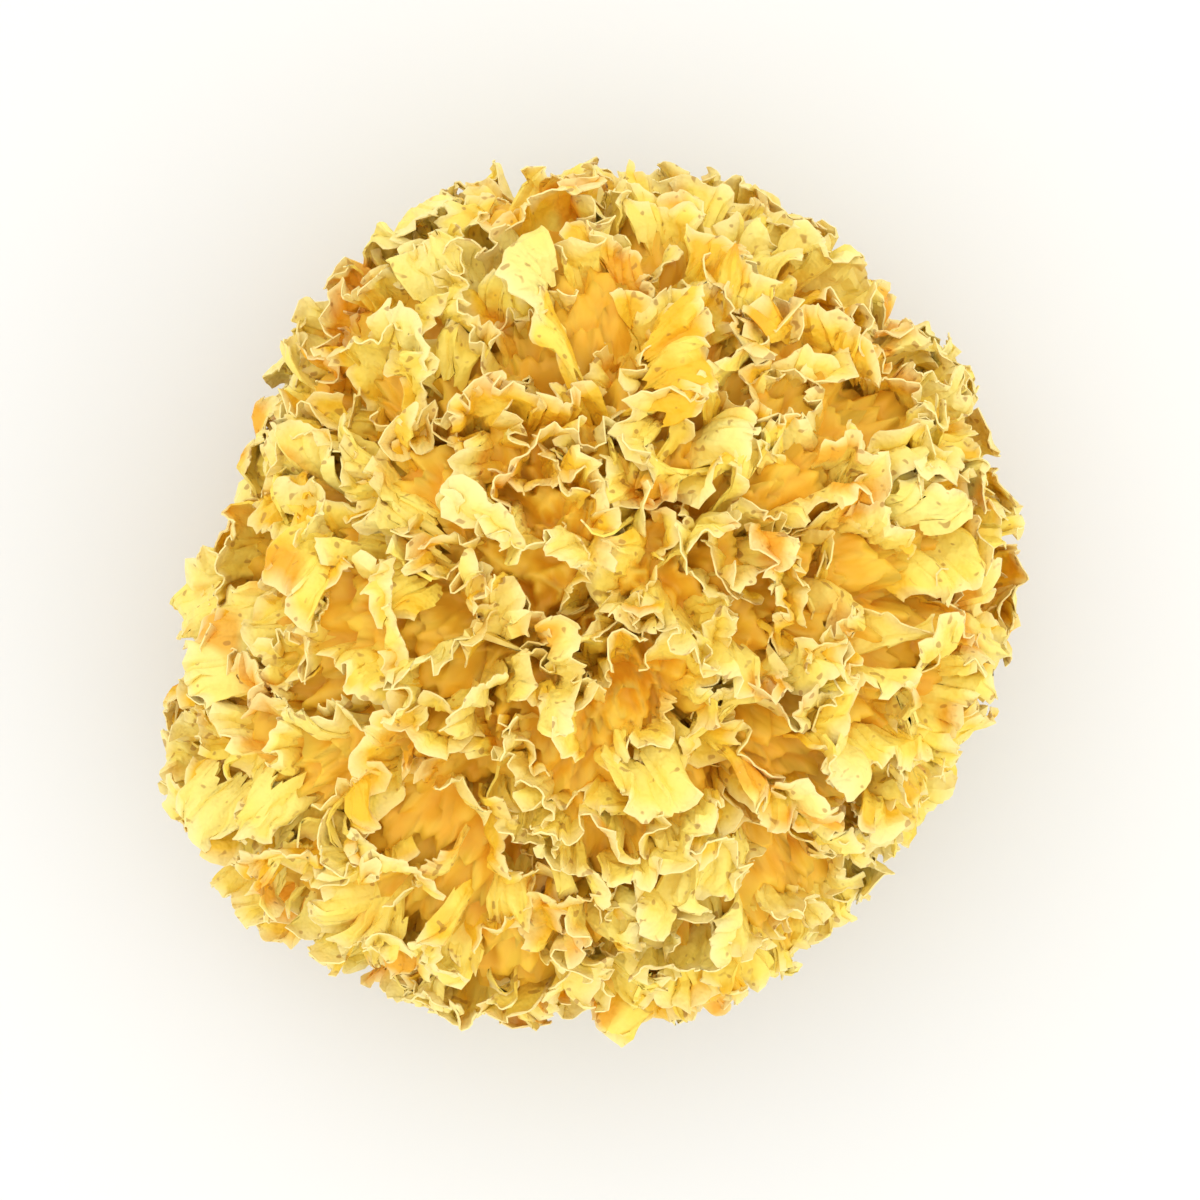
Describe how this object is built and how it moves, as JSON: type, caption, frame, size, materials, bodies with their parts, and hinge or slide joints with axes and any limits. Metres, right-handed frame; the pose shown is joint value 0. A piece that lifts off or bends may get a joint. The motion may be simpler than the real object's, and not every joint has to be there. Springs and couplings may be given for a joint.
{
  "type": "dried snow fungus",
  "caption": "Round head of dried snow fungus with crinkled golden cream fronds, resting on its flat cut foot, for a kitchen or food scene.",
  "frame": {"origin": "middle of the flat cut foot that the head rests on", "axes": "+Z up from the cut foot to the crown, +X to the right and +Y up in the picture's view, which looks down on the crown"},
  "size_m": [0.0986, 0.1002, 0.0631],
  "materials": {
    "fungus_flesh": "dry, thin, translucent crinkled flesh, cream at the rims and amber in the gaps"
  },
  "bodies": {
    "root": {"fruit_body": "fungus_flesh"}
  },
  "joints": []
}
